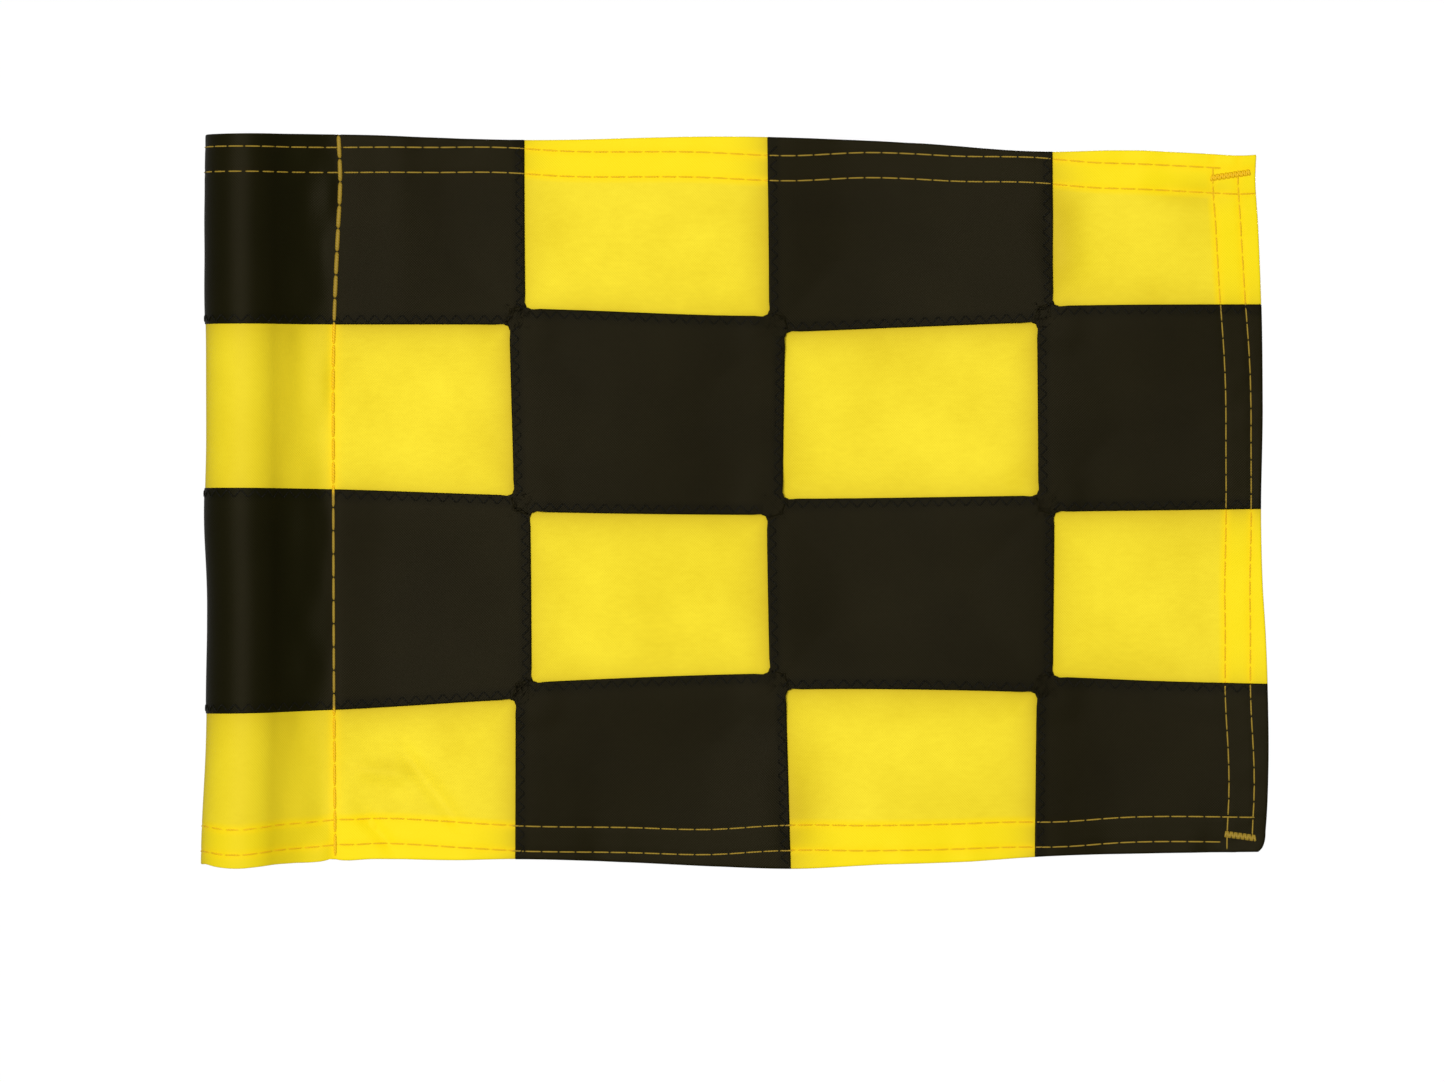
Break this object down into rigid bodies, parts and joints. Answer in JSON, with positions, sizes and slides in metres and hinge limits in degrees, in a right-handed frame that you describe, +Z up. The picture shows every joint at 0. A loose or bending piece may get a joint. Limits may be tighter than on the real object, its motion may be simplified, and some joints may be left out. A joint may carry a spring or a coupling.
{
  "type": "checkered pole flag",
  "caption": "Small sewn two-colour checkered flag with turned hems and a stitched pole sleeve around a plastic tube that slips over a thin flagstick.",
  "frame": {"origin": "on the axis of the tube insert, at its lower mouth", "axes": "+Z up the flagstick, +X from the flagstick to the free edge of the flag, front face towards -Y"},
  "size_m": [0.2022, 0.0156, 0.1397],
  "materials": {
    "yellow_nylon": "woven, slight sheen",
    "black_nylon": "woven, slight sheen",
    "gold_thread": "twisted, satin",
    "black_thread": "twisted, satin",
    "tube_plastic": "extruded, satin"
  },
  "bodies": {
    "tube": {"tube_insert": "tube_plastic"},
    "column_1": {"black_check_row1_col1": "black_nylon", "yellow_check_row2_col1": "yellow_nylon", "black_check_row3_col1": "black_nylon", "yellow_check_row4_col1": "yellow_nylon", "top_hem_thread_col1": "gold_thread", "bottom_hem_thread_col1": "gold_thread", "row_seam1_thread_col1": "black_thread", "row_seam2_thread_col1": "black_thread", "row_seam3_thread_col1": "black_thread", "column_seam1_thread": "black_thread", "sleeve_thread": "gold_thread"},
    "column_2": {"yellow_check_row1_col2": "yellow_nylon", "black_check_row2_col2": "black_nylon", "yellow_check_row3_col2": "yellow_nylon", "black_check_row4_col2": "black_nylon", "top_hem_thread_col2": "gold_thread", "bottom_hem_thread_col2": "gold_thread", "row_seam1_thread_col2": "black_thread", "row_seam2_thread_col2": "black_thread", "row_seam3_thread_col2": "black_thread", "column_seam2_thread": "black_thread"},
    "column_3": {"black_check_row1_col3": "black_nylon", "yellow_check_row2_col3": "yellow_nylon", "black_check_row3_col3": "black_nylon", "yellow_check_row4_col3": "yellow_nylon", "top_hem_thread_col3": "gold_thread", "bottom_hem_thread_col3": "gold_thread", "row_seam1_thread_col3": "black_thread", "row_seam2_thread_col3": "black_thread", "row_seam3_thread_col3": "black_thread", "column_seam3_thread": "black_thread"},
    "column_4": {"yellow_check_row1_col4": "yellow_nylon", "black_check_row2_col4": "black_nylon", "yellow_check_row3_col4": "yellow_nylon", "black_check_row4_col4": "black_nylon", "top_hem_thread_col4": "gold_thread", "bottom_hem_thread_col4": "gold_thread", "row_seam1_thread_col4": "black_thread", "row_seam2_thread_col4": "black_thread", "row_seam3_thread_col4": "black_thread", "fly_hem_thread": "gold_thread", "bar_tack_top": "gold_thread", "bar_tack_bottom": "gold_thread"}
  },
  "joints": [
    {"name": "flag_swivel", "type": "hinge", "parent": "tube", "child": "column_1", "pos_m": [0, 0, 0.068], "axis": [0, 0, 1], "continuous": true},
    {"name": "seam1_bend", "type": "hinge", "parent": "column_1", "child": "column_2", "pos_m": [0.0526, 0, 0.068], "axis": [0, 0, 1], "range_deg": [-80, 80], "stiffness_Nm_per_rad": 0.0002},
    {"name": "seam2_bend", "type": "hinge", "parent": "column_2", "child": "column_3", "pos_m": [0.102, 0, 0.068], "axis": [0, 0, 1], "range_deg": [-80, 80], "stiffness_Nm_per_rad": 0.0002},
    {"name": "seam3_bend", "type": "hinge", "parent": "column_3", "child": "column_4", "pos_m": [0.153, 0, 0.068], "axis": [0, 0, 1], "range_deg": [-80, 80], "stiffness_Nm_per_rad": 0.0002}
  ]
}
